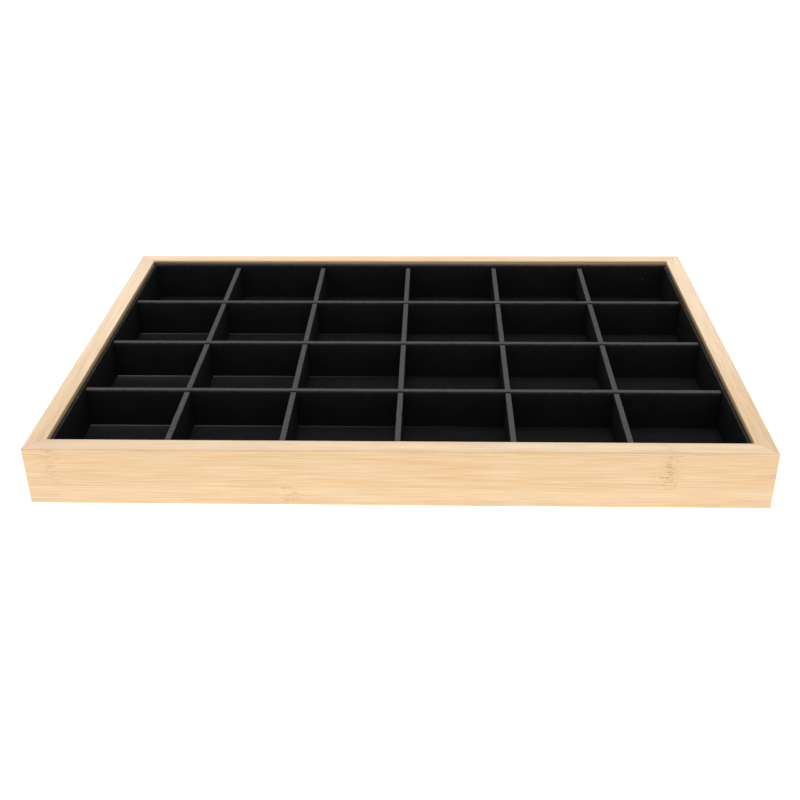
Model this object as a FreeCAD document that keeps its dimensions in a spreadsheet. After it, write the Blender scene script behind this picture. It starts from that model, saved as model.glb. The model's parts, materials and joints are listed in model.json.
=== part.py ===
import FreeCAD, Part
import math
import os
import re
import Sketcher

# A shallow sorting tray on a table: a mitred bamboo frame with a thin board in its grooves, a velvet
# covered liner that drops in, and a grid of velvet covered dividers that halve over each other and lift out.
# Millimetres. The origin is the middle of the underside, +X to the right, +Y to the back and +Z up.
# Every flat piece is drawn in a frame of its own, from its lower left corner, then placed and turned.

SIZES = {
    "tray_width": 350.0,  # outside, left to right
    "tray_depth": 243.5,  # outside, front to back
    "tray_height": 30.0,
    "rail_thickness": 9.5,
    "corner_round": 0.8,  # the upright corners, where two mitres meet
    "rail_ease": 0.5,  # the long edges, sanded
    "groove_depth": 4.0,  # for the bottom board, in each rail's inner face
    "board_rise": 1.0,  # underside of the bottom board above the table
    "board_thickness": 3.0,
    "board_play": 0.25,  # between the board's edge and the end of its groove
    "nail_leg": 6.0,
    "nail_sheet": 0.5,  # thickness of the nail's steel
    "nail_tall": 10.0,
    "nail_inset": 2.8,  # from a rail's outer face, clear of the groove
    "nail_sunk": 0.3,  # below flush
    "liner_play": 0.5,  # between the liner and the rails
    "liner_drop": 1.8,  # top of the liner below the top of the rails
    "floor_board": 1.2,
    "wall_board": 1.0,
    "velvet": 0.3,  # thickness of the cloth with its glue
    "velvet_round": 0.5,  # the cloth's bend over a board's top edge
    "divider_board": 2.0,
    "divider_drop": 3.6,  # top of the dividers below the top of the rails
    "divider_play": 0.3,  # between a divider's end and the liner
    "slot_play": 0.1,  # on each side of a divider in its slot
    "across": 6.0,  # compartments from left to right
    "deep": 4.0,  # compartments from front to back
}

# Worked out from the sizes above, in their words.
DERIVED = {
    "board_top": "board_rise + board_thickness",
    "floor_top": "board_top + floor_board + velvet",
    "liner_wide": "tray_width - 2 * rail_thickness - 2 * liner_play",
    "liner_deep": "tray_depth - 2 * rail_thickness - 2 * liner_play",
    "wall_thick": "wall_board + 2 * velvet",
    "wall_tall": "tray_height - liner_drop - floor_top",
    "grid_wide": "liner_wide - 2 * wall_thick",
    "grid_deep": "liner_deep - 2 * wall_thick",
    "divider_thick": "divider_board + 2 * velvet",
    "divider_tall": "tray_height - divider_drop - floor_top",
    "step_across": "(grid_wide + divider_thick) / across",
    "step_deep": "(grid_deep + divider_thick) / deep",
    "slot_wide": "divider_thick + 2 * slot_play",
    "slot_tall": "divider_tall / 2 + slot_play",
}

doc = FreeCAD.newDocument("tray")
sheet = doc.addObject("Spreadsheet::Sheet", "Sizes")
pieces = []


def fill_sheet():
    for line, (name, millimetres) in enumerate(SIZES.items(), start=1):
        sheet.set(f"A{line}", name)
        sheet.set(f"B{line}", str(millimetres))
        sheet.setAlias(f"B{line}", name)
    doc.recompute()


def cells(words):
    """Words such as "tray_width / 2" as an expression on the sheet's cells."""

    def cell(match):
        name = match.group(0)
        if name in DERIVED:
            return f"({cells(DERIVED[name])})"
        return f"Sizes.{name}" if name in SIZES else name

    return re.sub(r"[a-z_]+", cell, str(words))


def bind(thing, prop, words):
    thing.setExpression(prop, cells(words))


def place(thing, x, y, z, turn=0):
    """Puts a piece's own corner at a point, turned about the upright by whole quarter turns."""
    thing.Placement = FreeCAD.Placement(FreeCAD.Vector(), FreeCAD.Rotation(FreeCAD.Vector(0, 0, 1), turn))
    for axis, words in zip("xyz", (x, y, z)):
        bind(thing, f"Placement.Base.{axis}", words)


def new_body(name):
    body = doc.addObject("PartDesign::Body", name)
    body.Label = name
    pieces.append(body)
    return body


def new_sketch(body, plane):
    sketch = body.newObject("Sketcher::SketchObject", f"{body.Name}_outline")
    support = next(part for part in body.Origin.OriginFeatures if part.Role == plane)
    sketch.AttachmentSupport = [(support, "")]
    sketch.MapMode = "FlatFace"
    return sketch


def measure(sketch, kind, start, end, words):
    """A distance along the sketch's X or Y, from the point start to the point end, bound to the sheet."""
    span = sketch.getPoint(*end) - sketch.getPoint(*start)
    as_drawn = span.x if kind == "DistanceX" else span.y
    number = sketch.addConstraint(Sketcher.Constraint(kind, *start, *end, as_drawn))
    bind(sketch, f"Constraints[{number}]", words)


def draw_rectangle(sketch, left, low, wide, tall):
    """A rectangle from its lower left corner. A left or low of "0" lies on the sketch's own axis."""
    first = sketch.GeometryCount
    corners = [FreeCAD.Vector(*xy) for xy in ((1, 1), (2, 1), (2, 2), (1, 2))]
    for side in range(4):
        sketch.addGeometry(Part.LineSegment(corners[side], corners[(side + 1) % 4]))
    for side in range(4):
        following = first + (side + 1) % 4
        sketch.addConstraint(Sketcher.Constraint("Coincident", first + side, 2, following, 1))
        flat = "Horizontal" if side % 2 == 0 else "Vertical"
        sketch.addConstraint(Sketcher.Constraint(flat, first + side))
    origin = (-1, 1)
    corner = (first, 1)
    measure(sketch, "DistanceX", corner, (first, 2), wide)
    measure(sketch, "DistanceY", (first + 1, 1), (first + 1, 2), tall)
    for kind, level, words in (("DistanceX", "Vertical", left), ("DistanceY", "Horizontal", low)):
        if words == "0":
            sketch.addConstraint(Sketcher.Constraint(level, *origin, *corner))
        else:
            measure(sketch, kind, origin, corner, words)


def pad(body, sketch, length):
    feature = body.newObject("PartDesign::Pad", f"{body.Name}_pad")
    feature.Profile = sketch
    bind(feature, "Length", length)
    doc.recompute()
    sketch.Visibility = False
    return feature


def pocket(body, sketch, length=None, along_normal=True):
    """Cuts from the sketch's plane into the body, right through if no length is given."""
    before = body.Tip.Shape.Volume
    feature = body.newObject("PartDesign::Pocket", f"{body.Name}_pocket")
    feature.Profile = sketch
    feature.Reversed = along_normal
    if length is None:
        feature.Type = "ThroughAll"
    else:
        bind(feature, "Length", length)
    doc.recompute()
    if feature.Shape.Volume > before - 0.01:
        raise RuntimeError(f"{feature.Name} cuts nothing")
    return feature


def ease(body, radius, *tests):
    """Rounds the edges whose every corner passes one of the tests."""
    base = body.Tip
    names = [
        f"Edge{number}"
        for number, edge in enumerate(base.Shape.Edges, start=1)
        if any(all(test(corner.Point) for corner in edge.Vertexes) for test in tests)
    ]
    feature = body.newObject("PartDesign::Fillet", f"{body.Name}_ease")
    feature.Base = (base, names)
    bind(feature, "Radius", radius)
    doc.recompute()
    return feature


def near(value, target):
    return abs(value - target) < 0.001


# ---- the bamboo frame ----


def draw_rail_plan(sketch, length, long):
    """A rail from above: its outer face on the X axis, a mitre at each end and rounded outer tips."""
    thick = SIZES["rail_thickness"]
    tip = SIZES["corner_round"]
    cut = tip - tip * 0.5**0.5
    up = FreeCAD.Vector(0, 0, 1)
    points = [(tip, 0), (long - tip, 0), (long - cut, cut), (long - thick, thick), (thick, thick), (cut, cut)]
    outer_left, outer_right, tip_right, inner_right, inner_left, tip_left = (
        FreeCAD.Vector(*point, 0) for point in points
    )
    right = Part.Circle(FreeCAD.Vector(long - tip, tip, 0), up, tip)
    left = Part.Circle(FreeCAD.Vector(tip, tip, 0), up, tip)
    eighth = math.pi / 4
    sketch.addGeometry(Part.LineSegment(outer_left, outer_right))
    sketch.addGeometry(Part.ArcOfCircle(right, -2 * eighth, -eighth))
    sketch.addGeometry(Part.LineSegment(tip_right, inner_right))
    sketch.addGeometry(Part.LineSegment(inner_right, inner_left))
    sketch.addGeometry(Part.LineSegment(inner_left, tip_left))
    sketch.addGeometry(Part.ArcOfCircle(left, 5 * eighth, 6 * eighth))
    outer, right_arc, right_mitre, inner, left_mitre, left_arc = range(6)
    for rule in (
        ("Tangent", outer, 2, right_arc, 1),
        ("Coincident", right_arc, 2, right_mitre, 1),
        ("Coincident", right_mitre, 2, inner, 1),
        ("Coincident", inner, 2, left_mitre, 1),
        ("Coincident", left_mitre, 2, left_arc, 1),
        ("Tangent", left_arc, 2, outer, 1),
        ("Horizontal", outer),
        ("Horizontal", inner),
        ("PointOnObject", -1, 1, left_mitre),
        ("Perpendicular", left_mitre, right_mitre),
        ("Equal", left_arc, right_arc),
    ):
        sketch.addConstraint(Sketcher.Constraint(*rule))
    number = sketch.addConstraint(Sketcher.Constraint("Radius", left_arc, tip))
    bind(sketch, f"Constraints[{number}]", "corner_round")
    for kind, end, words in (
        ("DistanceX", (left_arc, 3), "corner_round"),
        ("DistanceY", (left_arc, 3), "corner_round"),
        ("DistanceX", (right_arc, 3), f"{length} - corner_round"),
        ("DistanceX", (left_mitre, 1), "rail_thickness"),
        ("DistanceY", (left_mitre, 1), "rail_thickness"),
        ("DistanceX", (right_mitre, 2), f"{length} - rail_thickness"),
    ):
        measure(sketch, kind, (-1, 1), end, words)


def make_rail(name, length, x, y, turn):
    """One side of the frame, lying along its own X with its outer face towards -Y."""
    body = new_body(name)
    plan = new_sketch(body, "XY_Plane")
    draw_rail_plan(plan, length, SIZES[length])
    pad(body, plan, "tray_height")
    groove = new_sketch(body, "YZ_Plane")
    draw_rectangle(groove, "rail_thickness - groove_depth", "board_rise", "groove_depth", "board_thickness")
    pocket(body, groove)
    nails = new_sketch(body, "XY_Plane")
    for left in ("nail_inset", f"{length} - nail_inset - nail_leg"):
        draw_rectangle(nails, left, "nail_inset", "nail_leg", "nail_sheet")
    pocket(body, nails, "nail_sunk + nail_tall")
    top = SIZES["tray_height"]
    thick = SIZES["rail_thickness"]
    tip = SIZES["corner_round"]

    ease(
        body,
        "rail_ease",
        lambda point: near(point.z, top) and point.y < tip,
        lambda point: near(point.z, top) and near(point.y, thick),
        lambda point: near(point.z, 0) and point.y < tip,
    )
    place(body, x, y, "0", turn)


def make_bottom_board():
    body = new_body("bottom_board")
    edge = "rail_thickness - groove_depth + board_play"
    outline = new_sketch(body, "XY_Plane")
    draw_rectangle(outline, "0", "0", f"tray_width - 2 * ({edge})", f"tray_depth - 2 * ({edge})")
    pad(body, outline, "board_thickness")
    place(body, f"{edge} - tray_width / 2", f"{edge} - tray_depth / 2", "board_rise")


def make_corner_nails():
    """A steel V driven up across each mitre, its point on the mitre and a leg in each rail."""
    nails = []
    for x, y, turn in (
        ("nail_inset - tray_width / 2", "nail_inset - tray_depth / 2", 0),
        ("tray_width / 2 - nail_inset", "nail_inset - tray_depth / 2", 90),
        ("tray_width / 2 - nail_inset", "tray_depth / 2 - nail_inset", 180),
        ("nail_inset - tray_width / 2", "tray_depth / 2 - nail_inset", 270),
    ):
        legs = []
        for length, width in (("nail_leg", "nail_sheet"), ("nail_sheet", "nail_leg")):
            leg = doc.addObject("Part::Box", "nail_side")
            bind(leg, "Length", length)
            bind(leg, "Width", width)
            bind(leg, "Height", "nail_tall")
            legs.append(leg)
        nail = doc.addObject("Part::Fuse", "nail")
        nail.Base, nail.Tool = legs
        place(nail, x, y, "nail_sunk", turn)
        nails.append(nail)
    group = doc.addObject("Part::Compound", "corner_v_nails")
    group.Label = "corner_v_nails"
    group.Links = nails
    pieces.append(group)


# ---- boards covered in velvet ----


def cut_slots(body, first, step, count, low, lining):
    """A row of slots across an upright board, from low upwards, spaced evenly along it. Lining is left for cloth."""
    slot = new_sketch(body, "XZ_Plane")
    left = f"{first} - slot_wide / 2 - {lining}"
    if low == "0":
        draw_rectangle(slot, left, "0", f"slot_wide + 2 * {lining}", f"slot_tall + {lining}")
    else:
        draw_rectangle(slot, left, f"{low} - {lining}", f"slot_wide + 2 * {lining}", "slot_tall + velvet_round")
    cut = pocket(body, slot, along_normal=False)  # the XZ plane faces -Y, and the board lies behind it
    before = cut.Shape.Volume
    row = body.newObject("PartDesign::LinearPattern", f"{body.Name}_slots")
    row.Originals = [cut]
    along = next(part for part in body.Origin.OriginFeatures if part.Role == "X_Axis")
    row.Direction = (along, [""])
    bind(row, "Length", f"{step} * ({count} - 1)")
    bind(row, "Occurrences", count)
    body.Tip = row
    doc.recompute()
    if row.Shape.Volume > before - 0.01:
        raise RuntimeError(f"{row.Name} adds no slots")


def make_covered_board(name, length, tall, board, at, slots=None):
    """An upright board in a velvet cover that folds over its top and ends and is open below."""
    core = new_body(f"{name}_board")
    section = new_sketch(core, "YZ_Plane")
    draw_rectangle(section, "velvet", "0", board, f"{tall} - velvet")
    pad(core, section, f"{length} - velvet")
    trim = new_sketch(core, "YZ_Plane")  # the board is set back from both ends by the cloth's thickness
    draw_rectangle(trim, "velvet", "0", board, f"{tall} - velvet")
    pocket(core, trim, "velvet")

    outside = doc.addObject("PartDesign::Body", f"{name}_outside")
    section = new_sketch(outside, "YZ_Plane")
    draw_rectangle(section, "0", "0", f"{board} + 2 * velvet", tall)
    top = pad(outside, section, length).Shape.BoundBox.ZMax
    ease(outside, "velvet_round", lambda point: near(point.z, top))

    for body, lining in ((core, "velvet"), (outside, "0")):
        if slots:
            cut_slots(body, *slots, lining)
        place(body, *at)
    cover = doc.addObject("Part::Cut", f"{name}_velvet")
    cover.Label = f"{name}_velvet"
    cover.Base, cover.Tool = outside, core
    pieces.append(cover)


def make_floor():
    for name, thick, low in (
        ("liner_floor_board", "floor_board", "board_top"),
        ("liner_floor_velvet", "velvet", "board_top + floor_board"),
    ):
        body = new_body(name)
        outline = new_sketch(body, "XY_Plane")
        draw_rectangle(outline, "0", "0", "liner_wide", "liner_deep")
        pad(body, outline, thick)
        place(body, "-liner_wide / 2", "-liner_deep / 2", low)


def make_liner():
    """The floor, two long walls that run right across, and two short walls between them."""
    make_floor()
    between = "liner_deep / 2 - wall_thick"
    for name, length, x, y, turn in (
        ("liner_front", "liner_wide", "-liner_wide / 2", "-liner_deep / 2", 0),
        ("liner_back", "liner_wide", "liner_wide / 2", "liner_deep / 2", 180),
        ("liner_left", "grid_deep", "-liner_wide / 2", between, 270),
        ("liner_right", "grid_deep", "liner_wide / 2", f"-({between})", 90),
    ):
        make_covered_board(name, length, "wall_tall", "wall_board", (x, y, "floor_top", turn))


def make_dividers():
    """The short dividers are slotted from above, and the long ones from below, so the long ones drop on."""
    short = "grid_deep - 2 * divider_play"
    long = "grid_wide - 2 * divider_play"
    from_above = "divider_tall - slot_tall"
    for number in range(1, int(SIZES["across"])):
        x = f"{number} * step_across - (grid_wide + divider_thick) / 2 + divider_thick / 2"
        at = (x, "divider_play - grid_deep / 2", "floor_top", 90)
        slots = ("step_deep - divider_thick / 2 - divider_play", "step_deep", "deep - 1", from_above)
        name = f"column_divider_{number}"
        make_covered_board(name, short, "divider_tall", "divider_board", at, slots)
    for number in range(1, int(SIZES["deep"])):
        y = f"{number} * step_deep - (grid_deep + divider_thick) / 2 - divider_thick / 2"
        at = ("divider_play - grid_wide / 2", y, "floor_top", 0)
        slots = ("step_across - divider_thick / 2 - divider_play", "step_across", "across - 1", "0")
        name = f"row_divider_{number}"
        make_covered_board(name, long, "divider_tall", "divider_board", at, slots)


def make_frame():
    for name, length, x, y, turn in (
        ("front_rail", "tray_width", "-tray_width / 2", "-tray_depth / 2", 0),
        ("right_rail", "tray_depth", "tray_width / 2", "-tray_depth / 2", 90),
        ("back_rail", "tray_width", "tray_width / 2", "tray_depth / 2", 180),
        ("left_rail", "tray_depth", "-tray_width / 2", "tray_depth / 2", 270),
    ):
        make_rail(name, length, x, y, turn)
    make_bottom_board()
    make_corner_nails()


def check_all():
    doc.recompute()
    for thing in doc.Objects:
        if {"Invalid", "Error"} & set(thing.State):
            raise RuntimeError(f"{thing.Name}: {thing.State}")
    for piece in pieces:
        if piece.Shape.isNull() or not piece.Shape.isValid() or not piece.Shape.Solids:
            raise RuntimeError(f"{piece.Label} has no sound shape")


def write_parts():
    os.makedirs("parts", exist_ok=True)
    for piece in pieces:
        piece.Shape.exportStep(f"parts/{piece.Label}.step")
        print(piece.Label, len(piece.Shape.Solids), round(piece.Shape.Volume, 1))


fill_sheet()
make_frame()
make_liner()
make_dividers()
check_all()
write_parts()
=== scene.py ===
import json
import math

import bpy
from mathutils import Euler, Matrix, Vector, noise

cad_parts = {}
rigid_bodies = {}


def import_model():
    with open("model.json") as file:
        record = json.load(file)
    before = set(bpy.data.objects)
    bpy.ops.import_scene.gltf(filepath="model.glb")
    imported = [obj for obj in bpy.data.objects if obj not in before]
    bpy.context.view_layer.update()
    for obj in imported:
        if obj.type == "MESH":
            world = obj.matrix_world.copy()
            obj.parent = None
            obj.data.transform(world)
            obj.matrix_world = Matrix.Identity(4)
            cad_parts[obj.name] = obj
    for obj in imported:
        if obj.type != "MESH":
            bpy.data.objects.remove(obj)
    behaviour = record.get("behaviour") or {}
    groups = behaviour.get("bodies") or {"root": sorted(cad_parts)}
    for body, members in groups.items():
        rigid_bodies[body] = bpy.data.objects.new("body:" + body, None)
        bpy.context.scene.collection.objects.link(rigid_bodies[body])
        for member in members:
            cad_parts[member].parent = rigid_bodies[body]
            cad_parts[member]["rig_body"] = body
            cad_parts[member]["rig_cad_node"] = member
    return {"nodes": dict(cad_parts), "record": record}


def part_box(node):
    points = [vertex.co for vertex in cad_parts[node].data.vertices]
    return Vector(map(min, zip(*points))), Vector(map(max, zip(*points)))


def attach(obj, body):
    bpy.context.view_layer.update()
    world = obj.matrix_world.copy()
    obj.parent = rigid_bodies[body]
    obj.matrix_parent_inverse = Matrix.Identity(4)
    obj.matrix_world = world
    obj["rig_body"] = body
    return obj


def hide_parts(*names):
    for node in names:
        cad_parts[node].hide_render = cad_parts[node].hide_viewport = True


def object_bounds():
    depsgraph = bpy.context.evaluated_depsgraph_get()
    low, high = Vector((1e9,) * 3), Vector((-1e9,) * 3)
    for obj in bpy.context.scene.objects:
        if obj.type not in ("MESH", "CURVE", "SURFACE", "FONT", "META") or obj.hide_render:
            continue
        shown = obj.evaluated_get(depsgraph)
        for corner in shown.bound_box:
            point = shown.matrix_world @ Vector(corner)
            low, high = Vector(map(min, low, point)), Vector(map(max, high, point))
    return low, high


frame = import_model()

bl_info = {
    "name": "Compartment tray",
    "version": (1, 0, 0),
    "blender": (4, 5, 0),
    "location": "View3D > Sidebar > Tray",
    "description": "Dresses a bamboo tray with a velvet liner and a lift-out grid of velvet dividers",
    "category": "Object",
}

CAD_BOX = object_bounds()
MM = 0.001
SIDES = ("front", "back", "left", "right")
RAILS = {"front_rail": "X", "back_rail": "X", "left_rail": "Y", "right_rail": "Y"}
BODIES = {
    node: body for body, nodes in frame["record"]["behaviour"]["bodies"].items() for node in nodes
}
VELVETS = [node for node in frame["nodes"] if node.endswith("velvet")]
ROWS = sorted(node for node in VELVETS if node.startswith("row_"))
COLUMNS = sorted(node for node in VELVETS if node.startswith("column_"))
SAME_PLACE = 0.01 * MM

# Each rail's knuckles: the place along it from its middle, as a share of the tray's length, whether it is
# in the upper strip, and how strongly it shows.
KNUCKLES = {
    "front_rail": ((-0.464, True, 0.6), (-0.145, False, 0.7), (0.359, True, 1.0)),
    "back_rail": ((-0.28, False, 0.9), (0.17, True, 0.8)),
    "left_rail": ((0.12, False, 0.9),),
    "right_rail": ((-0.173, True, 0.8), (0.21, False, 1.0)),
}


def linear(code, alpha=1.0):
    """An sRGB hex colour such as "f4d0a4" as linear red, green, blue and alpha."""
    parts = [int(code[place : place + 2], 16) / 255 for place in (0, 2, 4)]
    return tuple(p / 12.92 if p <= 0.04045 else ((p + 0.055) / 1.055) ** 2.4 for p in parts) + (alpha,)


def length(name, about, millimetres):
    return bpy.props.FloatProperty(
        name=name, description=about, default=millimetres * MM, unit="LENGTH", precision=5
    )


def colour(name, about, code):
    return bpy.props.FloatVectorProperty(
        name=name, description=about, default=linear(code), size=4, min=0, max=1, subtype="COLOR"
    )


class TraySizes(bpy.types.PropertyGroup):
    """The sizes that the cloth and the edges take beyond those of the frame"""

    arris: length("Arris", "Width broken off the sharp edges of the bamboo", 0.15)
    strip: length("Lower strip", "Height of the lower of the two strips of bamboo in a rail", 10.2)
    cloth: length("Cloth", "Thickness of the velvet with its glue", 0.3)
    fold: length("Fold", "Radius of the velvet where it folds over a board", 0.5)
    slot_fold: length("Slot fold", "Radius of the fold at the front of a divider's slot", 1.3)
    section: length("Section", "Spacing of the cross sections along a cover", 3.0)
    ripple: length("Ripple", "How far a divider's folded edge wanders", 0.1)
    wall_ripple: length("Wall ripple", "How far a liner wall's folded edge wanders", 0.05)
    wall_bow: length("Wall bow", "How far a liner wall bows between its corners", 0.25)
    # Painted shade: a darker copy of the velvet for the columns and the short walls, whose faces turn
    # sideways.
    painted_side_shade: bpy.props.FloatProperty(
        name="Nap share", description="Brightness of velvet whose nap runs down, beside the rest",
        default=0.6, min=0, max=1,
    )
    # Raises the painted sheen on the short walls' tops, so less of it shows.
    short_wall_sheen_fold: length("Sheltered fold", "How far above a short wall's top its pile would open fully", 0.7)
    back_lift: length("Back lift", "How much higher the back wall's cover stands at its left end", 0.9)
    floor_mesh: length("Floor mesh", "Spacing of the floor cloth's mesh", 2.5)
    floor_loft: length("Floor loft", "How far the floor cloth lifts between the dividers", 0.3)


class TrayColours(bpy.types.PropertyGroup):
    """The colours of the tray's materials and of the studio"""

    bamboo: colour("Bamboo", "Natural bamboo", "e9c798")
    bamboo_pale: colour("Pale bamboo", "Paler strips and threads", "f3dab6")
    bamboo_warm: colour("Warm bamboo", "Warmer clouds in the strips", "e5b984")
    bamboo_fibre: colour("Bamboo fibre", "The darker fibre bundles", "c39a6c")
    bamboo_knuckle: colour("Bamboo knuckle", "The brown ticks of a knuckle", "96602f")
    pile: colour("Velvet", "The black pile", "242324")
    # Painted sheen: the grey drawn along folded edges stands for light the opened pile catches there. The
    # lint flecks use this colour too.
    pile_sheen_and_lint: colour("Rubbed velvet", "The pile opened up along a folded edge", "5f5c5a")
    # Painted highlight: the light caught along a crease of the floor cloth.
    painted_crease_highlight: colour("Pinched velvet", "The pile opened up in a crease of the floor cloth", "8c8b8b")
    pile_tips: colour("Pile tips", "The faint sheen on the pile", "e7e7ea")
    greyboard: colour("Greyboard", "Raw recycled board", "6f6b64")
    plywood: colour("Plywood", "The bottom board", "c79f72")
    plywood_pore: colour("Plywood pore", "The open pores of the bottom board", "7d5a38")
    steel: colour("Steel", "The corner nails", "8b8c8e")
    table: colour("Table", "The studio table", "f0f0f0")
    surround: colour("Surround", "The white room around the table", "ffffff")


# ---- making a material ----


def add_node(tree, kind, inputs=None, out=0, **settings):
    """Adds a shader node and gives its output. Each input is a value, or the socket that feeds it."""
    made = tree.nodes.new("ShaderNode" + kind)
    for name, value in settings.items():
        setattr(made, name, value)
    for name, value in (inputs or {}).items():
        if isinstance(value, bpy.types.NodeSocket):
            tree.links.new(value, made.inputs[name])
        else:
            made.inputs[name].default_value = value
    return made.outputs[out] if made.outputs else made


def new_material(name):
    """An empty node material, its tree, and the Object coordinates in millimetres."""
    made = bpy.data.materials.new(name)
    made.use_nodes = True
    tree = made.node_tree
    tree.nodes.clear()
    where = add_node(tree, "TexCoord", out="Object")
    return made, tree, add_node(tree, "Mapping", {"Vector": where, "Scale": (1 / MM,) * 3})


def finish_material(tree, inputs):
    """Adds the surface's shader, with its inputs, and the material's output."""
    add_node(tree, "OutputMaterial", {"Surface": add_node(tree, "BsdfPrincipled", inputs)})


def streaks(tree, where, run, cross, seed, low=0.35, high=0.65):
    """Noise from 0 to 1, run millimetres long along X and cross millimetres wide."""
    moved = {"Vector": where, "Location": (seed,) * 3, "Scale": (1 / run, 1 / cross, 1 / cross)}
    stretched = add_node(tree, "Mapping", moved)
    made = add_node(tree, "TexNoise", {"Vector": stretched, "Scale": 1.0, "Detail": 2.0})
    return add_node(tree, "MapRange", {"Value": made, "From Min": low, "From Max": high})


def bell(tree, value, middle, width):
    """1 where a value is at the middle, falling away to nothing about two widths off."""
    away = add_node(tree, "Math", {0: value, 1: middle}, operation="SUBTRACT")
    share = add_node(tree, "Math", {0: away, 1: 1 / width}, operation="MULTIPLY")
    square = add_node(tree, "Math", {0: share, 1: share}, operation="MULTIPLY")
    fall = add_node(tree, "Math", {0: square, 1: -1.0}, operation="MULTIPLY")
    return add_node(tree, "Math", {0: math.e, 1: fall}, operation="POWER")


def tint(tree, shade, laid, mask, strength=1.0):
    """A colour laid over another, where a mask is set, at a strength from 0 to 1."""
    amount = add_node(tree, "Math", {0: mask, 1: strength}, operation="MULTIPLY")
    return add_node(tree, "Mix", {0: amount, 6: shade, 7: laid}, out=2, data_type="RGBA")


def dimmed(shade, share):
    """A colour at a share of its brightness."""
    return tuple(part * share for part in shade[:3]) + (1.0,)


def knuckle_masks(tree, where, along_rail, strips, knuckles, seed):
    """Two masks: how near a point is to a knuckle, and the wavering line that the knuckle's ticks stand in.
    The strips are the masks of the lower and the upper one. Sizes are millimetres."""
    reach, line_width, line_sway = 5.0, 3.0, 4.0
    sway = streaks(tree, where, run=6.0, cross=5.0, seed=seed + 3.0)
    bent = add_node(tree, "Math", {0: sway, 1: line_sway, 2: along_rail}, operation="MULTIPLY_ADD")
    near = line = add_node(tree, "Math", {0: 0.0, 1: 0.0}, operation="ADD")
    for place, on_upper, strength in knuckles:
        strip = add_node(tree, "Math", {0: strips[on_upper], 1: strength}, operation="MULTIPLY")
        around = bell(tree, along_rail, place, reach)
        around = add_node(tree, "Math", {0: around, 1: strip}, operation="MULTIPLY")
        near = add_node(tree, "Math", {0: near, 1: around}, operation="MAXIMUM")
        across = bell(tree, bent, place + line_sway / 2, line_width)
        across = add_node(tree, "Math", {0: across, 1: strip}, operation="MULTIPLY")
        line = add_node(tree, "Math", {0: line, 1: across}, operation="MAXIMUM")
    return near, line


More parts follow.
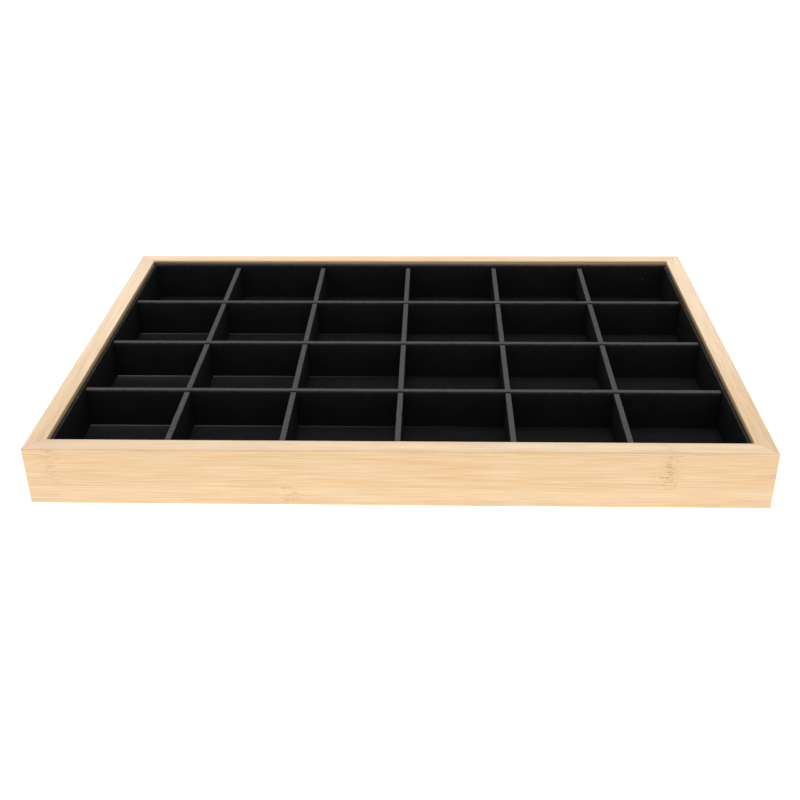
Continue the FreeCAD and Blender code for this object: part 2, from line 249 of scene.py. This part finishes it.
def bamboo(name, along, knuckles, seed):
    """Flat pressed bamboo under a thin satin lacquer. A rail is two strips, the lower one paler. The fibres
    show as fine darker and paler threads that run the length, drawn 0.3 to 0.8 mm wide. Where a strip has
    a knuckle they waver, and short brown ticks stand in a line across them, fainter on the rail's top. A
    knuckle is its place along the rail in millimetres, whether it is in the upper strip, and how strongly
    it shows."""
    made, tree, where = new_material(name)
    colours = bpy.context.scene.tray_colours
    seam = bpy.context.scene.tray_sizes.strip / MM
    top = CAD_BOX[1].z / MM
    turn = math.radians(0 if along == "X" else -90)
    where = add_node(tree, "Mapping", {"Vector": where, "Rotation": (0, 0, turn)})
    split = add_node(tree, "SeparateXYZ", {"Vector": where}).node
    along_rail, up = split.outputs["X"], split.outputs["Z"]
    upper = add_node(tree, "Math", {0: up, 1: seam}, operation="GREATER_THAN")
    lower = add_node(tree, "Math", {0: 1.0, 1: upper}, operation="SUBTRACT")
    knuckle, line = knuckle_masks(tree, where, along_rail, (lower, upper), knuckles, seed)

    fibre_rise = 1.3
    ruffle = streaks(tree, where, run=3.0, cross=1.8, seed=seed + 7.0, low=0.2, high=0.8)
    ruffled = add_node(tree, "Math", {0: ruffle, 1: 0.5}, operation="SUBTRACT")
    shift = add_node(tree, "Math", {0: ruffled, 1: knuckle}, operation="MULTIPLY")
    rise = add_node(tree, "Math", {0: shift, 1: fibre_rise}, operation="MULTIPLY")
    moved = add_node(tree, "CombineXYZ", {"Y": rise, "Z": rise})
    where = add_node(tree, "VectorMath", {0: where, 1: moved}, operation="ADD")

    clouds = streaks(tree, where, run=45.0, cross=2.6, seed=seed + 11.0, low=0.32, high=0.72)
    bundles = streaks(tree, where, run=90.0, cross=0.8, seed=seed + 17.0, low=0.5, high=0.7)
    threads = streaks(tree, where, run=26.0, cross=0.34, seed=seed + 23.0, low=0.5, high=0.62)
    pale_threads = streaks(tree, where, run=32.0, cross=0.36, seed=seed + 31.0, low=0.5, high=0.62)
    ticks = streaks(tree, where, run=6.5, cross=0.5, seed=seed + 41.0, low=0.54, high=0.62)
    patches = streaks(tree, where, run=6.0, cross=2.2, seed=seed + 43.0, low=0.5, high=0.64)

    shade = tint(tree, colours.bamboo, colours.bamboo_warm, clouds)
    shade = tint(tree, shade, colours.bamboo_pale, lower, strength=0.32)
    shade = tint(tree, shade, colours.bamboo_pale, pale_threads, strength=0.55)
    shade = tint(tree, shade, colours.bamboo_fibre, bundles, strength=0.12)
    shade = tint(tree, shade, colours.bamboo_fibre, threads, strength=0.36)
    glue_line = bell(tree, up, seam, width=0.3)
    shade = tint(tree, shade, colours.bamboo_fibre, glue_line, strength=0.16)
    patch = add_node(tree, "Math", {0: patches, 1: knuckle}, operation="MULTIPLY")
    shade = tint(tree, shade, colours.bamboo_warm, patch, strength=0.9)

    strays, top_share, edge = 0.25, 0.4, 0.5
    spread = add_node(tree, "Math", {0: knuckle, 1: strays, 2: line}, operation="MULTIPLY_ADD")
    mark = add_node(tree, "Math", {0: ticks, 1: spread}, operation="MULTIPLY")
    height = {"Value": up, "From Min": top, "From Max": top - edge, "To Min": top_share}
    fainter = add_node(tree, "MapRange", height)
    mark = add_node(tree, "Math", {0: mark, 1: fainter}, operation="MULTIPLY")
    shade = tint(tree, shade, colours.bamboo_knuckle, mark, strength=0.46)

    relief = add_node(tree, "Math", {0: threads, 1: bundles}, operation="ADD")
    grooves = {"Height": relief, "Strength": 0.2, "Distance": 0.04 * MM}
    bump = add_node(tree, "Bump", grooves, invert=True)
    rough = add_node(tree, "MapRange", {"Value": threads, "To Min": 0.4, "To Max": 0.5})
    finish_material(tree, {
        "Base Color": shade, "Roughness": rough, "Normal": bump,
        "IOR": 1.5, "Coat Weight": 0.5, "Coat Roughness": 0.35,
    })
    return made


def opened_pile_and_sheen(tree, where, axes, fold, outer, shut):
    """A mask for pile stretched open over a board's edge, at the height fold, where grey is drawn as
    painted sheen. It fades out 2 mm below, and is shut on the side tucked against a rail, beyond outer, and
    at the places named shut on a divider."""
    left_right, front_back, up = axes
    fade, full, softness = fold - 1.9, fold + 0.15, 3.0
    waver, tuck, turn = 0.5, 0.3, 1.0
    ragged = streaks(tree, where, run=2.4, cross=2.4, seed=9.0, low=0.3, high=0.7)
    level = add_node(tree, "Math", {0: ragged, 1: waver, 2: up}, operation="MULTIPLY_ADD")
    opened = add_node(tree, "MapRange", {"Value": level, "From Min": fade, "From Max": full})
    mask = add_node(tree, "Math", {0: opened, 1: softness}, operation="POWER")
    for axis, edge in zip((left_right, front_back), outer):
        off = add_node(tree, "Math", {0: axis}, operation="ABSOLUTE")
        inside = add_node(tree, "MapRange", {"Value": off, "From Min": edge, "From Max": edge - tuck})
        mask = add_node(tree, "Math", {0: mask, 1: inside}, operation="MULTIPLY")
    for place in shut:
        near = bell(tree, front_back, place, turn)
        clear = add_node(tree, "MapRange", {"Value": near, "From Min": 0.6, "From Max": 0.2})
        mask = add_node(tree, "Math", {0: mask, 1: clear}, operation="MULTIPLY")
    mottle = streaks(tree, where, run=1.2, cross=1.2, seed=13.0, low=0.25, high=0.75)
    speckled = add_node(tree, "MapRange", {"Value": mottle, "To Min": 0.7})
    return add_node(tree, "Math", {0: mask, 1: speckled}, operation="MULTIPLY")


def crease_highlight_mask(tree, axes, place, strength, faded):
    """A mask for the painted highlight along a crease across the floor cloth, drawn for the light the
    crease
    catches: a sharp ridge with a soft slope, strongest at the tray's left end and gone where it has faded."""
    slope_width, slope_share, ridge_width = 4.5, 0.3, 0.8
    reach = {"Value": axes[0], "From Min": faded, "From Max": CAD_BOX[0].x / MM, "To Max": strength}
    highlight_fade = add_node(tree, "MapRange", reach)
    slope = bell(tree, axes[1], place, slope_width)
    slope = add_node(tree, "Math", {0: slope, 1: highlight_fade}, operation="MULTIPLY")
    ridge = bell(tree, axes[1], place, ridge_width)
    strip = add_node(tree, "Math", {0: slope, 1: slope_share, 2: ridge}, operation="MULTIPLY_ADD")
    return add_node(tree, "Math", {0: strip, 1: highlight_fade}, operation="MULTIPLY", use_clamp=True)


def velvet(name, painted_shade_share=1.0, fold=None, outer=(), crease_highlights=(), shut=()):
    """Short pile black velvet glued to board. The pile swallows light. Where the cloth is stretched over a
    board's edge, at the height fold, the pile opens and is drawn grey, with painted sheen: grey standing
    for light caught on the fold. Along each crease of the floor cloth a painted highlight is drawn. A
    crease is its place, how strongly its highlight shows at its left end, and where it has faded away. A
    painted shade share below 1 gives a darker copy of the velvet, as painted shade. A few flecks of lint,
    up to 1 mm across, cling to it. The fibres are too fine to show, so it is mottled at 1 to 3 mm. Places
    are millimetres."""
    made, tree, where = new_material(name)
    colours = bpy.context.scene.tray_colours
    split = add_node(tree, "SeparateXYZ", {"Vector": where}).node
    axes = [split.outputs[axis] for axis in "XYZ"]
    patches = streaks(tree, where, run=12.0, cross=12.0, seed=5.0)
    # The painted shade share darkens the whole cloth.
    dark, pale = (dimmed(colours.pile, share * painted_shade_share) for share in (0.86, 1.0))
    shade = tint(tree, dark, pale, patches)
    if fold is not None:
        # Painted sheen along the folded edges, over the opened pile.
        shade = tint(tree, shade, colours.pile_sheen_and_lint, opened_pile_and_sheen(tree, where, axes, fold, outer, shut))
    # Painted highlight along each crease of the floor cloth.
    for crease in crease_highlights:
        shade = tint(tree, shade, colours.painted_crease_highlight, crease_highlight_mask(tree, axes, *crease))

    lint_spacing, lint_edge, lint_middle = 23, 0.022, 0.012
    cells = add_node(tree, "TexVoronoi", {"Vector": where, "Scale": 1 / lint_spacing})
    lint = add_node(tree, "MapRange", {"Value": cells, "From Min": lint_edge, "From Max": lint_middle})
    # Real lint flecks, in the same colour as the painted sheen.
    shade = tint(tree, shade, colours.pile_sheen_and_lint, lint)

    nap = streaks(tree, where, run=0.7, cross=0.7, seed=19.0, low=0.0, high=1.0)
    bump = add_node(tree, "Bump", {"Height": nap, "Strength": 0.5, "Distance": 0.12 * MM})
    finish_material(tree, {
        "Base Color": shade, "Normal": bump, "Roughness": 1.0, "Specular IOR Level": 0.02,
        "Sheen Weight": 0.008, "Sheen Roughness": 0.4, "Sheen Tint": colours.pile_tips,
    })
    return made


def greyboard():
    """Recycled greyboard, the bookbinder's board: a dull grey with pale and dark paper flecks 1 mm long."""
    made, tree, where = new_material("greyboard")
    board = bpy.context.scene.tray_colours.greyboard
    flecks = streaks(tree, where, run=1.1, cross=0.8, seed=2.0, low=0.3, high=0.7)
    shade = tint(tree, dimmed(board, 0.65), board, flecks)
    bump = add_node(tree, "Bump", {"Height": flecks, "Strength": 0.4, "Distance": 0.05 * MM})
    finish_material(tree, {"Base Color": shade, "Roughness": 0.9, "Normal": bump})
    return made


def plywood():
    """Rotary cut poplar plywood, unfinished: soft wide figure along the sheet, and pores 0.5 mm wide."""
    made, tree, where = new_material("poplar_plywood")
    colours = bpy.context.scene.tray_colours
    figure = streaks(tree, where, run=160.0, cross=11.0, seed=4.0, low=0.3, high=0.7)
    pores = streaks(tree, where, run=7.0, cross=0.5, seed=6.0, low=0.58, high=0.75)
    shade = tint(tree, dimmed(colours.plywood, 0.74), colours.plywood, figure)
    shade = tint(tree, shade, colours.plywood_pore, pores, strength=0.4)
    pits = {"Height": pores, "Strength": 0.3, "Distance": 0.1 * MM}
    bump = add_node(tree, "Bump", pits, invert=True)
    finish_material(tree, {"Base Color": shade, "Roughness": 0.75, "Normal": bump})
    return made


def nail_steel():
    """Cold rolled strip steel, as corner nails are punched from: dull grey with faint rolling streaks."""
    made, tree, where = new_material("strip_steel")
    steel = bpy.context.scene.tray_colours.steel
    rolled = streaks(tree, where, run=4.0, cross=0.4, seed=8.0)
    rough = add_node(tree, "MapRange", {"Value": rolled, "To Min": 0.3, "To Max": 0.5})
    finish_material(tree, {"Base Color": steel, "Metallic": 1.0, "Roughness": rough})
    return made


def opal_acrylic():
    """Opal acrylic lit from below, as a product table has: an even white that takes faint shadows."""
    made, tree, _ = new_material("lit_acrylic")
    white = bpy.context.scene.tray_colours.table
    finish_material(tree, {
        "Base Color": white, "Roughness": 0.9, "Emission Color": white, "Emission Strength": 0.9,
    })
    return made


def paint(thing, material):
    """Gives a piece or a node one material all over."""
    thing.data.materials.clear()
    thing.data.materials.append(material)


# ---- modelling by hand ----


def start_piece(name, low, high):
    """A box between two corners, named, with everything else deselected."""
    bpy.ops.object.select_all(action="DESELECT")
    bpy.ops.mesh.primitive_cube_add(size=1, location=(low + high) / 2, scale=high - low)
    piece = bpy.context.object
    piece.name = name
    piece.data.name = name
    bpy.ops.object.transform_apply(location=True, rotation=True, scale=True)
    return piece


def only(piece):
    """Selects the piece alone and makes it active."""
    bpy.ops.object.select_all(action="DESELECT")
    piece.select_set(True)
    bpy.context.view_layer.objects.active = piece


def pick(piece, kind, test):
    """Selects the piece's faces or edges that pass a test, in edit mode."""
    bpy.ops.object.mode_set(mode="OBJECT")
    for group in (piece.data.vertices, piece.data.edges, piece.data.polygons):
        group.foreach_set("select", [False] * len(group))
    chosen = piece.data.polygons if kind == "FACE" else piece.data.edges
    for part in chosen:
        part.select = test(part)
    bpy.ops.object.mode_set(mode="EDIT")
    bpy.ops.mesh.select_mode(type=kind)


def cut_across(piece, axis, places):
    """Cuts the piece's mesh through by planes square to an axis, so it can bend there."""
    only(piece)
    bpy.ops.object.mode_set(mode="EDIT")
    normal = Vector((axis == "X", axis == "Y", axis == "Z"))
    for place in places:
        bpy.ops.mesh.select_all(action="SELECT")
        bpy.ops.mesh.bisect(plane_co=normal * place, plane_no=normal)
    bpy.ops.object.mode_set(mode="OBJECT")


def cut_slots(piece, slots):
    """Takes boxes, each between two corners, out of the piece."""
    for low, high in slots:
        cutter = start_piece("slot_cutter", low, high)
        only(piece)
        cut = piece.modifiers.new("slot", "BOOLEAN")
        cut.operation = "DIFFERENCE"
        cut.solver = "EXACT"
        cut.object = cutter
        bpy.ops.object.modifier_apply(modifier=cut.name)
        bpy.data.objects.remove(cutter)


def edge_faces(mesh):
    """Each edge's pair of corner numbers, with the faces on it."""
    found = {}
    for face in mesh.polygons:
        for key in face.edge_keys:
            found.setdefault(key, []).append(face)
    return found


def smooth(piece, degrees=35):
    """Shades the piece smooth across edges that turn by less than an angle."""
    only(piece)
    bpy.ops.object.shade_smooth_by_angle(angle=math.radians(degrees))


def wander(point, size, seed):
    """A smooth value from about -1 to 1 that changes over size metres."""
    return noise.noise(point / size + Vector((seed, seed * 1.7, seed * 0.3)))


def thicken(piece):
    """Gives an open surface of cloth its thickness, inwards."""
    only(piece)
    shell = piece.modifiers.new("cloth", "SOLIDIFY")
    shell.thickness = bpy.context.scene.tray_sizes.cloth
    shell.offset = -1
    bpy.ops.object.modifier_apply(modifier=shell.name)


def round_folds(piece, run, top, eased):
    """Rounds the cover's upright edges and those along its top. The places named eased, along the axis run,
    have a wider fold across the top."""
    sizes = bpy.context.scene.tray_sizes
    below_top, upright, square = 1.2 * MM, MM, 0.5

    def ends_of(edge):
        return [piece.data.vertices[number].co for number in edge.vertices]

    def across_top(edge):
        ends = ends_of(edge)
        if any(end.z <= top - SAME_PLACE for end in ends):
            return False
        return any(all(abs(end[run] - place) < SAME_PLACE for end in ends) for place in eased)

    def folded(edge):
        pair = faces.get(edge.key, [])
        if len(pair) < 2 or pair[0].normal.dot(pair[1].normal) > square:
            return False
        ends = ends_of(edge)
        near_top = all(end.z > top - below_top for end in ends)
        return near_top or abs(ends[0].z - ends[1].z) > upright

    bevel = {"profile": 0.5, "affect": "EDGES", "clamp_overlap": True}
    if eased:
        pick(piece, "EDGE", across_top)
        bpy.ops.mesh.bevel(offset=sizes.slot_fold, segments=4, **bevel)
        bpy.ops.object.mode_set(mode="OBJECT")
    faces = edge_faces(piece.data)
    pick(piece, "EDGE", folded)
    bpy.ops.mesh.bevel(offset=sizes.fold, segments=3, **bevel)
    bpy.ops.object.mode_set(mode="OBJECT")


def settle(piece, box, run, stops, ripple, bow, lift, seed):
    """Lets a cover's upper part wander a little between the stops that hold it, bow between its ends, and
    rise by lift at its left or front end. The ripple has one length sideways and another in its height."""
    low, high = box
    cross = 1 - run
    sideways, upwards = 9 * MM, 14 * MM
    rounding = 0.1 * SAME_PLACE
    lift_ends = 0.8
    crown, sag = 0.99, 0.5
    for corner in piece.data.vertices:
        place = corner.co[run]
        left = max((stop for stop in stops if stop <= place + rounding), default=low[run])
        right = min((stop for stop in stops if stop > place + rounding), default=high[run])
        share = (place - left) / max(right - left, MM)
        loose = math.sin(math.pi * min(max(share, 0), 1)) ** 0.5 if right > left else 0
        rise = max(0.0, (corner.co.z - low.z) / (high.z - low.z)) ** 2
        spot = Vector((place, 0, 0))
        span = (place - low[run]) / (high[run] - low[run])
        corner.co[cross] += ripple * loose * rise * wander(spot, sideways, seed)
        corner.co[cross] += bow * math.sin(math.pi * span) * rise
        corner.co.z += lift * max(0.0, 1 - span / lift_ends) * rise
        if rise > crown:
            corner.co.z -= sag * ripple * loose * (1 + wander(spot, upwards, seed + 5))


def fold_cover(name, node, along, ripple, slots=(), bow=0.0, lift=0.0, eased=(), seed=0):
    """A velvet cover: a box the size of the covered board, slotted, rounded along its top, open below and
    given the cloth's thickness inwards. Between the crossings its folded edge wanders a little."""
    box = low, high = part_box(node)
    tall = high.z - low.z
    piece = start_piece(name, low, high)
    cut_slots(piece, slots)
    run = "XY".index(along)
    count = round((high[run] - low[run]) / bpy.context.scene.tray_sizes.section)
    step = (high[run] - low[run]) / count
    cut_across(piece, along, [low[run] + step * number for number in range(1, count)])
    bends = (0.2, 0.75)
    cut_across(piece, "Z", [low.z + share * tall for share in bends])

    pick(piece, "FACE", lambda face: face.normal.z < -0.9 and face.center.z < low.z + 0.1 * MM)
    bpy.ops.mesh.delete(type="FACE")
    bpy.ops.object.mode_set(mode="OBJECT")
    round_folds(piece, run, high.z, eased)
    crossings = sorted((slot[0][run] + slot[1][run]) / 2 for slot in slots)
    settle(piece, box, run, [low[run], *crossings, high[run]], ripple, bow, lift, seed)
    thicken(piece)
    smooth(piece)
    return piece


def hand_over(piece, node, material):
    """Gives a finished cloth piece its material, its body and the CAD node that it stands for."""
    paint(piece, material)
    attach(piece, BODIES[node])
    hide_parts(node)


def slot_boxes(node, along, others):
    """The slots in which a divider crosses the others, each between two corners. They are half its height,
    from above in a divider that runs front to back and from below in one that runs left to right."""
    low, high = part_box(node)
    middle = (low.z + high.z) / 2
    play, beyond = 0.1 * MM, 2 * MM
    boxes = []
    for other in others:
        from_low, from_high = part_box(other)
        if along == "Y":
            slot_low = Vector((low.x - beyond, from_low.y - play, middle - play))
            slot_high = Vector((high.x + beyond, from_high.y + play, high.z + beyond))
        else:
            slot_low = Vector((from_low.x - play, low.y - beyond, low.z - beyond))
            slot_high = Vector((from_high.x + play, high.y + beyond, middle + play))
        boxes.append((slot_low, slot_high))
    return boxes


class TRAY_OT_rails(bpy.types.Operator):
    """Bamboo rails with sanded edges and a fine joint line at each mitre"""

    bl_idname = "tray.rails"
    bl_label = "Bamboo rails"

    def execute(self, context):
        width = (CAD_BOX[1].x - CAD_BOX[0].x) / MM
        for seed, (node, along) in enumerate(RAILS.items()):
            only(frame["nodes"][node])
            bpy.ops.object.duplicate()
            piece = context.object
            piece.name = f"{node}_bamboo"
            # The copy is a new piece, so it drops what marks a node of the frame.
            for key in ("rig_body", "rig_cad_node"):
                del piece[key]
            bpy.ops.object.mode_set(mode="EDIT")
            bpy.ops.mesh.select_all(action="SELECT")
            bpy.ops.mesh.remove_doubles(threshold=0.1 * SAME_PLACE)
            bpy.ops.mesh.dissolve_limited(angle_limit=math.radians(0.5))
            bpy.ops.object.mode_set(mode="OBJECT")
            arris = piece.modifiers.new("arris", "BEVEL")
            arris.width = context.scene.tray_sizes.arris
            arris.segments = 2
            arris.limit_method = "ANGLE"
            arris.angle_limit = math.radians(40)
            bpy.ops.object.modifier_apply(modifier=arris.name)
            smooth(piece)
            knuckles = [(share * width, *look) for share, *look in KNUCKLES[node]]
            paint(piece, bamboo(f"bamboo_{node}", along, knuckles, 100.0 * seed))
            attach(piece, BODIES[node])
            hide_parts(node)
        return {"FINISHED"}


class TRAY_OT_boards(bpy.types.Operator):
    """Finishes for the bottom board, the corner nails and the greyboard cores"""

    bl_idname = "tray.boards"
    bl_label = "Boards and nails"

    def execute(self, context):
        grey = greyboard()
        paint(frame["nodes"]["bottom_board"], plywood())
        paint(frame["nodes"]["corner_v_nails"], nail_steel())
        for node, thing in frame["nodes"].items():
            if node.endswith("_board") and node != "bottom_board":
                paint(thing, grey)
        return {"FINISHED"}


class TRAY_OT_liner_floor(bpy.types.Operator):
    """The liner's floor cloth, lifting a little between the dividers"""

    bl_idname = "tray.liner_floor"
    bl_label = "Liner floor"

    def execute(self, context):
        sizes = context.scene.tray_sizes
        low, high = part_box("liner_floor_velvet")
        wide, deep = high.x - low.x, high.y - low.y
        bpy.ops.object.select_all(action="DESELECT")
        bpy.ops.mesh.primitive_grid_add(
            x_subdivisions=round(wide / sizes.floor_mesh),
            y_subdivisions=round(deep / sizes.floor_mesh),
            size=1,
            location=((low.x + high.x) / 2, (low.y + high.y) / 2, high.z),
        )
        piece = context.object
        piece.name = "floor_cloth"
        piece.scale = (wide, deep, 1)
        bpy.ops.object.transform_apply(location=True, rotation=True, scale=True)
        lines = {
            "x": sorted([sum(c.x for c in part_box(node)) / 2 for node in COLUMNS] + [low.x, high.x]),
            "y": sorted([sum(c.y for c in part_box(node)) / 2 for node in ROWS] + [low.y, high.y]),
        }
        held, roundness = 12 * MM, 0.7
        for corner in piece.data.vertices:
            free = 1.0
            for axis, stops in lines.items():
                place = getattr(corner.co, axis)
                near = min(abs(place - stop) for stop in stops)
                free *= min(near / held, 1.0) ** roundness
            broad = wander(corner.co, 45 * MM, 3)
            fine = wander(corner.co, 12 * MM, 8)
            corner.co.z += sizes.floor_loft * free * (0.6 + 0.5 * broad + 0.25 * fine)
        thicken(piece)
        smooth(piece, 60)

        # A crease runs along the front of each row, drawn as a painted highlight: how strongly it shows at
        # its left end, and where it has faded away, in millimetres from the middle.
        before_row = 0.3
        highlight_strengths = ((0.7, 40.0), (0.85, 5.0), (0.5, 0.0))
        crease_highlights = [(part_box(node)[0].y / MM - before_row, *highlight) for node, highlight in zip(ROWS, highlight_strengths)]
        cloth = velvet("velvet_floor", 0.92, crease_highlights=crease_highlights)
        hand_over(piece, "liner_floor_velvet", cloth)
        return {"FINISHED"}


class TRAY_OT_liner_walls(bpy.types.Operator):
    """Four velvet covers folded over the liner's wall boards"""

    bl_idname = "tray.liner_walls"
    bl_label = "Liner walls"

    def execute(self, context):
        sizes = context.scene.tray_sizes
        outside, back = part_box("liner_right_velvet")[1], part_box("liner_back_velvet")[1]
        tucked = 0.6
        outer = (outside.x / MM - tucked, back.y / MM - tucked)
        fold = back.z / MM
        # The short walls' painted sheen starts higher up.
        short_wall_sheen_fold = fold + sizes.short_wall_sheen_fold / MM
        cloths = {
            "X": velvet("velvet_long_walls", fold=fold, outer=outer),
            # Short walls: a darker copy of the velvet, as painted shade.
            "Y": velvet("velvet_short_walls", sizes.painted_side_shade, fold=short_wall_sheen_fold, outer=outer),
        }
        for seed, side in enumerate(SIDES):
            node = f"liner_{side}_velvet"
            along = "X" if side in ("front", "back") else "Y"
            inwards = 1 if side in ("front", "left") else -1
            bow = inwards * sizes.wall_bow
            lift = sizes.back_lift if side == "back" else 0.0
            name = f"{side}_wall_cloth"
            piece = fold_cover(name, node, along, sizes.wall_ripple, bow=bow, lift=lift, seed=20 + seed)
            hand_over(piece, node, cloths[along])
        return {"FINISHED"}


class TRAY_OT_dividers(bpy.types.Operator):
    """Velvet covers for the short dividers, slotted from above, and the long ones, slotted from below"""

    bl_idname = "tray.dividers"
    bl_label = "Dividers"

    def execute(self, context):
        sizes = context.scene.tray_sizes
        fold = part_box(ROWS[0])[1].z / MM
        before_row, before_end = 0.7, 0.2
        shut = [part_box(node)[0].y / MM - before_row for node in ROWS]
        shut.append(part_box(COLUMNS[0])[1].y / MM - before_end)
        cloths = {
            "X": velvet("velvet_rows", fold=fold),
            # Columns: a darker copy of the velvet, as painted shade.
            "Y": velvet("velvet_columns", sizes.painted_side_shade, fold=fold, shut=shut),
        }
        for group, along, others in ((COLUMNS, "Y", ROWS), (ROWS, "X", COLUMNS)):
            for number, node in enumerate(group):
                slots = slot_boxes(node, along, others)
                eased = [slot[0].y for slot in slots] + [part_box(node)[1].y] if along == "Y" else []
                name = node.replace("velvet", "cloth")
                seed = 40 + number + 10 * (along == "X")
                piece = fold_cover(name, node, along, sizes.ripple, slots, eased=eased, seed=seed)
                hand_over(piece, node, cloths[along])
        return {"FINISHED"}


class TRAY_OT_studio(bpy.types.Operator):
    """A pale table, a soft light above, one behind for gloss, a faint one in front, and the camera"""

    bl_idname = "tray.studio"
    bl_label = "Studio"

    def execute(self, context):
        scene = context.scene
        table_width, clearance = 12, 0.02 * MM
        bpy.ops.object.select_all(action="DESELECT")
        bpy.ops.mesh.primitive_plane_add(size=table_width, location=(0, 0, CAD_BOX[0].z - clearance))
        table = context.object
        table.name = "studio_table"
        paint(table, opal_acrylic())

        # Each light has its place, its width and height, its watts, and whether it gives gloss only.
        for name, place, wide, tall, watts, gloss_only in (
            ("key_light", (0.0, 0.15, 1.6), 0.8, 0.8, 9.2, False),
            ("back_light", (0.0, 2.0, 1.05), 3.6, 1.3, 27, True),
            ("front_light", (-0.2, -1.7, 0.16), 1.6, 0.3, 0.5, False),
        ):
            bpy.ops.object.light_add(type="AREA", location=place)
            lamp = context.object
            lamp.name = name
            lamp.visible_camera = False
            lamp.visible_diffuse = not gloss_only
            lamp.data.shape = "RECTANGLE"
            lamp.data.size, lamp.data.size_y = wide, tall
            lamp.data.energy = watts
            lamp.rotation_euler = (-Vector(place)).to_track_quat("-Z", "Y").to_euler()

        world = bpy.data.worlds.new("studio")
        world.use_nodes = True
        background = world.node_tree.nodes["Background"]
        background.inputs["Color"].default_value = scene.tray_colours.surround
        background.inputs["Strength"].default_value = 0.6
        scene.world = world
        scene.view_settings.view_transform = "Standard"

        standpoint = (0.01752, -0.54926, 0.29458)
        down, left, roll = (math.radians(angle) for angle in (29.026, 2.078, -0.718))
        bpy.ops.object.camera_add(location=standpoint)
        camera = context.object
        camera.name = "camera"
        camera.data.lens = 49.22
        camera.data.sensor_width = 36
        camera.data.clip_start = 10 * MM
        looking = Euler((math.pi / 2 - down, 0, left), "XYZ").to_matrix()
        camera.rotation_euler = (looking @ Euler((0, 0, roll), "XYZ").to_matrix()).to_euler()
        scene.camera = camera
        return {"FINISHED"}


STEPS = (
    TRAY_OT_rails,
    TRAY_OT_boards,
    TRAY_OT_liner_floor,
    TRAY_OT_liner_walls,
    TRAY_OT_dividers,
    TRAY_OT_studio,
)


class TRAY_PT_panel(bpy.types.Panel):
    """The steps that make the tray, in order"""

    bl_label = "Compartment tray"
    bl_idname = "TRAY_PT_panel"
    bl_space_type = "VIEW_3D"
    bl_region_type = "UI"
    bl_category = "Tray"

    def draw(self, context):
        for step in STEPS:
            self.layout.operator(step.bl_idname)


CLASSES = (TraySizes, TrayColours, *STEPS, TRAY_PT_panel)


def register():
    for each in CLASSES:
        bpy.utils.register_class(each)
    bpy.types.Scene.tray_sizes = bpy.props.PointerProperty(type=TraySizes)
    bpy.types.Scene.tray_colours = bpy.props.PointerProperty(type=TrayColours)


def unregister():
    del bpy.types.Scene.tray_colours
    del bpy.types.Scene.tray_sizes
    for each in reversed(CLASSES):
        bpy.utils.unregister_class(each)


def main():
    register()
    bpy.ops.tray.rails()
    bpy.ops.tray.boards()
    bpy.ops.tray.liner_floor()
    bpy.ops.tray.liner_walls()
    bpy.ops.tray.dividers()
    bpy.ops.tray.studio()


if __name__ == "__main__":
    main()
